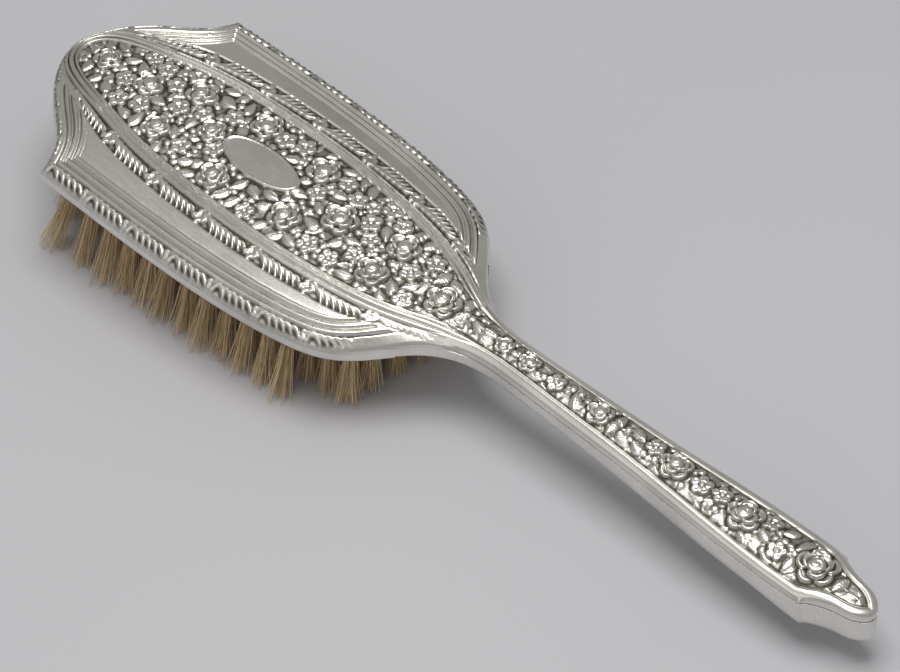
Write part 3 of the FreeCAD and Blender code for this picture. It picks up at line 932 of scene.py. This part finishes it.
def pitch_fill():
    """The cement between the board and the chased back, kept clear of the sloping border band."""
    inside = (head_stations > 2.0 * PITCH_INSET) & (head_stations < NECK_STATION - 2.0)
    stations = head_stations[inside][::6]
    widths = head_widths[inside][::6] - PITCH_INSET
    share = np.linspace(-1.0, 1.0, 41)
    x = np.repeat(stations[:, None], len(share), 1)
    y = widths[:, None] * share[None, :]
    top = PARTING + ARRIS_RISE + crown_rise(x) * (1.0 - (y / crown_width(x)) ** 2) - PITCH_DEPTH
    top = np.maximum(top, BOARD_BACK + 0.1)
    upper = np.stack([x, y, top], -1)
    lower = np.stack([x, y, np.full(x.shape, BOARD_BACK)], -1)[:, ::-1]
    loop = np.concatenate([upper, lower, upper[:, :1]], 1)
    ends = [section * [1.0, 0.0, 0.0] + [0.0, 0.0, BOARD_BACK + 0.05] for section in (loop[0], loop[-1])]
    return place(np.concatenate([ends[0][None], loop, ends[1][None]]))


make_piece("head_pitch", pitch_fill(), materials["pitch"], "head_filler", sharp=40)


# ================= rim wall and lower shell =================

def outward(x, y):
    """Outward directions along the half outline."""
    dx = np.gradient(x)
    dy = np.gradient(y)
    size = np.hypot(dx, dy)
    return -dy / size, dx / size


def wall_profile(z_top, fullness):
    """The head's side wall down to its turned-in lip, as (outward offset, height)."""
    drop = z_top - RIM_EDGE
    return [
        (0.0, z_top), (0.10 * fullness, RIM_EDGE + drop * 0.82),
        (0.14 * fullness, RIM_EDGE + drop * 0.6), (0.10 * fullness, RIM_EDGE + drop * 0.4),
        (0.0, RIM_EDGE + drop * 0.22), (-0.16, RIM_EDGE + drop * 0.09),
        (-0.36, RIM_EDGE + 0.02), (-0.8, RIM_EDGE - 0.02), (-LIP_WIDTH + 0.1, RIM_EDGE),
        (-LIP_WIDTH, RIM_EDGE + 0.12), (-LIP_WIDTH, LIP_TOP + 0.05),
    ]


def sweep_wall(hand):
    """One side of the rim wall, from the head end to where it dips under the shell past the neck."""
    keep = head_stations <= NECK_STATION + WALL_LAP
    x = head_stations[keep][::2]
    y = head_widths[keep][::2]
    edge = head_z[keep][::2, -1 if hand > 0 else 0]
    nx, ny = outward(x, y)
    x = np.concatenate([[0.0], x])
    y = np.concatenate([[0.0], y])
    nx = np.concatenate([[-1.0], nx])
    ny = np.concatenate([[0.0], ny])
    edge = np.concatenate([edge[:1], edge])
    fullness = np.clip((NECK_STATION + WALL_LAP - x) / 6.0, -0.3, 1.0)
    columns = []
    for offset_x, offset_y, px, py, top, full in zip(nx, ny, x, y, edge, fullness):
        profile = wall_profile(top, full)
        columns.append([(px + offset_x * o, max(0.0, py + offset_y * o) * hand, z) for o, z in profile])
    return place(np.array(columns))


for hand, name in ((1.0, "rim_wall_left"), (-1.0, "rim_wall_right")):
    make_piece(name, sweep_wall(hand), silver_plain, "back_stamping", flip=hand < 0, sharp=40)


def keel_depth(x):
    """How far the lower shell hangs below the parting plane."""
    growth = smooth(0.0, 1.0, (x - NECK_STATION) / (HANDLE_LENGTH * 0.9))
    end_lift = 1.0 - np.clip((OVERALL_LENGTH - x) / TIP_LENGTH, 0.0, 1.0)
    return NECK_DEPTH + (HANDLE_DEPTH - NECK_DEPTH) * growth - 1.3 * end_lift**2


def under_shell():
    """The lower half of the handle: a deep trough below a fine seam, closed up to the edge of the back."""
    tip_half = resample(tip, SHELL_TIP_STEP)
    plain = np.arange(NECK_STATION, HANDLE_CORNER, SHELL_STEP)
    x = np.concatenate([plain, tip_half[:, 0]])
    w = np.concatenate([half_width(plain), tip_half[:, 1]])
    w[-1] = 0.02
    depth = keel_depth(x)
    edge_x = np.concatenate([head_stations, handle_stations])
    edge_z = np.concatenate([head_z[:, -1], handle_z[:, -1]])
    order = np.argsort(edge_x)
    edge = np.interp(x, edge_x[order], edge_z[order])
    turn = np.linspace(0.0, math.pi, SHELL_COLUMNS)
    cos = np.cos(turn)
    sin = np.sin(turn)
    sections = []
    for px, half, deep, top in zip(x, w, depth, edge):
        rounding = float(smooth(*SHELL_ROUNDING, px))
        rounding *= 1.0 - 0.70 * float(smooth(*TIP_SQUARING, px))
        y = half * np.sign(cos) * np.abs(cos) ** (0.10 + 0.22 * rounding)
        z = PARTING - 0.30 - (deep - 0.30) * np.abs(sin) ** (0.35 + 0.33 * rounding)
        seam = min(SEAM_DEPTH, half * 0.5) * float(smooth(*SEAM_FADE, px))
        upper_y = np.array([half, half, half - seam, half - seam])
        upper_z = np.array([top, PARTING + 0.12, PARTING + 0.02, PARTING - 0.20])
        upper_z = np.minimum(upper_z, top)
        y = np.concatenate([upper_y, y, -upper_y[::-1]])
        z = np.concatenate([upper_z, z, upper_z[::-1]])
        sections.append(np.stack([np.full(len(y), px), y, z], -1))
    front = sections[0].copy()
    front[:, 1] *= 0.02
    front[:, 2] = PARTING - 1.0 + (front[:, 2] - PARTING + 1.0) * 0.02
    return place(np.array([front] + sections))


shell_points = under_shell()
shell_tarnish = np.zeros(shell_points.shape[:2])
seam_shade = smooth(*SEAM_FADE, np.linspace(NECK_STATION, OVERALL_LENGTH, len(shell_points)))
for column in (2, 3, -3, -4):
    shell_tarnish[:, column] = seam_shade
make_piece("handle_trough", shell_points, silver_chased, "handle_under_shell", {"tarnish": shell_tarnish},
           sharp=50, flip=True)


# ================= bristles =================

def add(tree, kind, inputs=None, **settings):
    """A node with its settings made first and its sockets then linked or filled in."""
    made = tree.nodes.new(kind)
    for key, value in settings.items():
        setattr(made, key, value)
    for key, value in (inputs or {}).items():
        if isinstance(value, bpy.types.NodeSocket):
            tree.links.new(value, made.inputs[key])
        else:
            made.inputs[key].default_value = value
    return made


def bristle_tree():
    """Grows tufts of bristles from points: each hair is a tapered bent strand leaning out of its tuft."""
    tree = bpy.data.node_groups.new("Tufts", "GeometryNodeTree")
    face = tree.interface
    face.new_socket("Geometry", in_out="INPUT", socket_type="NodeSocketGeometry")
    for name, kind, value in (
        ("Bristles", "NodeSocketInt", BRISTLES_PER_TUFT), ("Root Radius", "NodeSocketFloat", 0.0013),
        ("Splay", "NodeSocketFloat", 0.055), ("Stray", "NodeSocketFloat", 0.065),
        ("Hair Radius", "NodeSocketFloat", 0.00011), ("Bend", "NodeSocketFloat", 0.0013),
        ("Lean", "NodeSocketFloat", REST_LEAN), ("Seed", "NodeSocketInt", 0),
        ("Material", "NodeSocketMaterial", None),
    ):
        socket = face.new_socket(name, in_out="INPUT", socket_type=kind)
        if value is not None:
            socket.default_value = value
    face.new_socket("Geometry", in_out="OUTPUT", socket_type="NodeSocketGeometry")
    given = add(tree, "NodeGroupInput").outputs
    result = add(tree, "NodeGroupOutput")

    def maths(operation, one, two=0.0):
        return add(tree, "ShaderNodeMath", {0: one, 1: two}, operation=operation).outputs[0]

    def random(low, high, channel):
        seed = add(
            tree, "FunctionNodeIntegerMath", {0: given["Seed"], 1: channel}, operation="ADD").outputs[0]
        made = add(tree, "FunctionNodeRandomValue", data_type="FLOAT")
        made.inputs[2].default_value = low
        made.inputs[3].default_value = high
        tree.links.new(seed, made.inputs["Seed"])
        return made.outputs[1]

    # one hair, a metre long, to be scaled to its own length
    line = add(tree, "GeometryNodeCurvePrimitiveLine", {"End": (0.0, 0.0, 1.0)}).outputs[0]
    line = add(tree, "GeometryNodeResampleCurve", {"Curve": line, "Count": 6}).outputs[0]
    factor = add(tree, "GeometryNodeSplineParameter").outputs["Factor"]
    bend = maths("MULTIPLY", maths("MULTIPLY", factor, factor), given["Bend"])
    offset = add(tree, "ShaderNodeCombineXYZ", {"X": bend}).outputs[0]
    line = add(tree, "GeometryNodeSetPosition", {"Geometry": line, "Offset": offset}).outputs[0]
    line = add(tree, "GeometryNodeStoreNamedAttribute", {
        "Geometry": line, "Name": "along", "Value": factor}, data_type="FLOAT", domain="POINT").outputs[0]
    taper = maths("MULTIPLY", maths("SUBTRACT", 1.0, maths("MULTIPLY", factor, 0.45)), given["Hair Radius"])
    ring = add(tree, "GeometryNodeCurvePrimitiveCircle", {"Resolution": 3, "Radius": 1.0}).outputs[0]
    hair = add(tree, "GeometryNodeCurveToMesh", {
        "Curve": line, "Profile Curve": ring, "Scale": taper, "Fill Caps": True}).outputs[0]

    # where each hair of each tuft stands
    points = add(tree, "GeometryNodeMeshToPoints", {"Mesh": given["Geometry"]}).outputs[0]
    points = add(tree, "GeometryNodeDuplicateElements", {
        "Geometry": points, "Amount": given["Bristles"]}, domain="POINT").outputs[0]
    turn = random(0.0, math.tau, 1)
    reach = maths("SQRT", random(0.0, 1.0, 2))
    out_x = maths("MULTIPLY", maths("COSINE", turn), reach)
    out_y = maths("MULTIPLY", maths("SINE", turn), reach)
    shift = add(tree, "ShaderNodeCombineXYZ", {
        "X": maths("MULTIPLY", out_x, given["Root Radius"]),
        "Y": maths("MULTIPLY", out_y, given["Root Radius"])}).outputs[0]

    # its direction, down from the board and out from the middle of the tuft
    tuft_x = add(tree, "GeometryNodeInputNamedAttribute", {"Name": "pull_x"}, data_type="FLOAT").outputs[0]
    tuft_y = add(tree, "GeometryNodeInputNamedAttribute", {"Name": "pull_y"}, data_type="FLOAT").outputs[0]
    wild = maths("POWER", random(0.0, 1.0, 3), 5.0)
    stray_turn = random(0.0, math.tau, 4)
    stray = maths("ADD", maths("MULTIPLY", wild, given["Stray"]), maths("MULTIPLY", given["Stray"], 0.45))
    lean_x = maths("MULTIPLY", maths("SINE", given["Lean"]), -1.0)
    dir_x = maths("ADD", maths("ADD", lean_x, maths("MULTIPLY", out_x, given["Splay"])),
                  maths("ADD", tuft_x, maths("MULTIPLY", maths("COSINE", stray_turn), stray)))
    dir_y = maths("ADD", maths("MULTIPLY", out_y, given["Splay"]),
                  maths("ADD", tuft_y, maths("MULTIPLY", maths("SINE", stray_turn), stray)))
    direction = add(tree, "ShaderNodeCombineXYZ", {"X": dir_x, "Y": dir_y, "Z": -1.0}).outputs[0]
    points = add(tree, "GeometryNodeSetPosition", {"Geometry": points, "Offset": shift}).outputs[0]
    rotation = add(tree, "FunctionNodeAlignRotationToVector", {"Vector": direction}, axis="Z").outputs[0]
    spin = add(tree, "FunctionNodeAxisAngleToRotation", {
        "Axis": (0.0, 0.0, 1.0), "Angle": random(0.0, math.tau, 5)})
    rotation = add(tree, "FunctionNodeRotateRotation", {
        "Rotation": rotation, "Rotate By": spin.outputs[0]}, rotation_space="LOCAL").outputs[0]
    position = add(tree, "GeometryNodeInputPosition").outputs[0]
    height = add(tree, "ShaderNodeSeparateXYZ", {0: position}).outputs["Z"]
    length = add(tree, "ShaderNodeVectorMath", {0: direction}, operation="LENGTH").outputs["Value"]
    short = maths("MULTIPLY", maths("POWER", random(0.0, 1.0, 6), 2.5), 0.14)
    length = maths("MULTIPLY", maths("MULTIPLY", height, length), maths("SUBTRACT", 1.0, short))
    scale = add(tree, "ShaderNodeCombineXYZ", {"X": 1.0, "Y": 1.0, "Z": length}).outputs[0]
    hairs = add(tree, "GeometryNodeInstanceOnPoints", {
        "Points": points, "Instance": hair, "Rotation": rotation, "Scale": scale}).outputs[0]
    hairs = add(tree, "GeometryNodeStoreNamedAttribute", {
        "Geometry": hairs, "Name": "tone", "Value": random(0.0, 1.0, 7)},
        data_type="FLOAT", domain="INSTANCE").outputs[0]
    hairs = add(tree, "GeometryNodeRealizeInstances", {"Geometry": hairs}).outputs[0]

    # tips that reach the table lie on it
    at = add(tree, "ShaderNodeSeparateXYZ", {0: add(tree, "GeometryNodeInputPosition").outputs[0]}).outputs
    held = add(tree, "ShaderNodeCombineXYZ", {
        "X": at["X"], "Y": at["Y"], "Z": maths("MAXIMUM", at["Z"], 0.00015)}).outputs[0]
    hairs = add(tree, "GeometryNodeSetPosition", {"Geometry": hairs, "Position": held}).outputs[0]
    hairs = add(tree, "GeometryNodeSetMaterial", {
        "Geometry": hairs, "Material": given["Material"]}).outputs[0]
    tree.links.new(hairs, result.inputs[0])
    return tree


tufts = bristle_tree()
socket_names = {item.name: item.identifier for item in tufts.interface.items_tree if item.in_out == "INPUT"}


def grow_row(number, y, start, count):
    """One lengthwise row of tufts as a plain mesh."""
    stations = start + TUFT_PITCH * np.arange(count)
    roots = place(np.stack([stations, np.full(count, y), np.full(count, BOARD_FACE - 0.1)], -1))
    mesh = bpy.data.meshes.new(f"bristle_seed_{number}")
    mesh.from_pydata(roots.tolist(), [], [])
    local = np.random.default_rng(ROW_SEED + number)
    edge_pull = OUTER_PULL * (y / OUTER_ROW) * abs(y / OUTER_ROW)
    end_pull = END_PULL * np.clip(1.0 - (stations - start) / END_REACH, 0.0, 1.0) ** 2
    for name, values in (
        ("pull_x", end_pull + local.normal(0.0, PULL_SPREAD, count)),
        ("pull_y", edge_pull + local.normal(0.0, PULL_SPREAD, count)),
    ):
        layer = mesh.attributes.new(name, "FLOAT", "POINT")
        layer.data.foreach_set("value", values.astype(np.float32))
    seedling = bpy.data.objects.new(f"bristle_seed_{number}", mesh)
    bpy.context.scene.collection.objects.link(seedling)
    modifier = seedling.modifiers.new("Tufts", "NODES")
    modifier.node_group = tufts
    modifier[socket_names["Seed"]] = 31 * number
    modifier[socket_names["Bristles"]] = BRISTLES_PER_TUFT
    modifier[socket_names["Material"]] = materials["natural_bristle"]
    bpy.context.view_layer.update()
    evaluated = seedling.evaluated_get(bpy.context.evaluated_depsgraph_get())
    grown = bpy.data.meshes.new_from_object(evaluated)
    grown.name = f"bristles_{number}"
    seedling.modifiers.remove(modifier)
    bpy.data.objects.remove(seedling)
    piece = bpy.data.objects.new(f"bristles_{number}", grown)
    bpy.context.scene.collection.objects.link(piece)
    register(piece, f"bristle_row_{number}")


for number in range(1, 10):
    start, count = ROW_STARTS[abs(number - 5)]
    grow_row(number, ROW_PITCH * (number - 5), start, count)


# ================= table, light and camera =================

def make_floor():
    """The pale table that the brush stands on."""
    made = Material("table", 0.0, 0.55, (0.50, 0.50, 0.53))
    cloud = made.noise(3.0, 3.0)
    made.colour(made.mix(made.ramp(cloud, 0.3, 0.7), (0.50, 0.50, 0.535), (0.53, 0.53, 0.56)))
    mesh = bpy.data.meshes.new("table")
    half = 3.0
    corners = [(-half, -half, 0), (half, -half, 0), (half, half, 0), (-half, half, 0)]
    mesh.from_pydata(corners, [], [(0, 1, 2, 3)])
    mesh.materials.append(made.material)
    floor = bpy.data.objects.new("table", mesh)
    bpy.context.scene.collection.objects.link(floor)


def softbox(name, position, size_x, size_y, power, colour):
    """A rectangular lamp turned towards the middle of the brush."""
    light = bpy.data.lights.new(name, "AREA")
    light.shape = "RECTANGLE"
    light.size = size_x
    light.size_y = size_y
    light.energy = power
    light.color = colour
    lamp = bpy.data.objects.new(name, light)
    lamp.location = position
    lamp.rotation_mode = "QUATERNION"
    lamp.rotation_quaternion = (-Vector(position)).to_track_quat("-Z", "Y")
    bpy.context.scene.collection.objects.link(lamp)


make_floor()
softbox("overhead softbox", (0.03, -0.01, 0.84), 0.50, 0.46, 4.7, (1.0, 0.98, 0.95))
softbox("near fill", (-0.04, -0.80, 0.58), 0.90, 0.60, 0.9, (1.0, 0.985, 0.96))

world = bpy.data.worlds.new("studio")
bpy.context.scene.world = world
world.use_nodes = True
background = world.node_tree.nodes["Background"]
background.inputs["Color"].default_value = (0.60, 0.60, 0.585, 1.0)
background.inputs["Strength"].default_value = 0.55

# The viewing angle: azimuth and elevation are those of the level brush, which then leans with it.
VIEW_AZIMUTH = math.radians(43.14)
VIEW_ELEVATION = math.radians(49.89)
VIEW_DISTANCE = 1114.3
VIEW_TARGET = (125.5, -4.9, PARTING + ARRIS_RISE)
back = Vector((math.sin(VIEW_AZIMUTH) * math.cos(VIEW_ELEVATION),
               -math.cos(VIEW_AZIMUTH) * math.cos(VIEW_ELEVATION), math.sin(VIEW_ELEVATION)))
right = Vector((math.cos(VIEW_AZIMUTH), math.sin(VIEW_AZIMUTH), 0.0))
lean = Matrix.Rotation(REST_LEAN, 3, "Y")
axes = Matrix((lean @ right, lean @ back.cross(right), lean @ back)).transposed()
camera_data = bpy.data.cameras.new("camera")
camera_data.lens = 200.0
camera_data.sensor_width = 36.0
camera_data.clip_end = 10.0
camera = bpy.data.objects.new("camera", camera_data)
camera.rotation_mode = "QUATERNION"
camera.location = place(np.array(VIEW_TARGET) + np.array(back) * VIEW_DISTANCE).tolist()
camera.rotation_quaternion = axes.to_quaternion()
bpy.context.scene.collection.objects.link(camera)
bpy.context.scene.camera = camera
bpy.context.scene.view_settings.view_transform = "Standard"
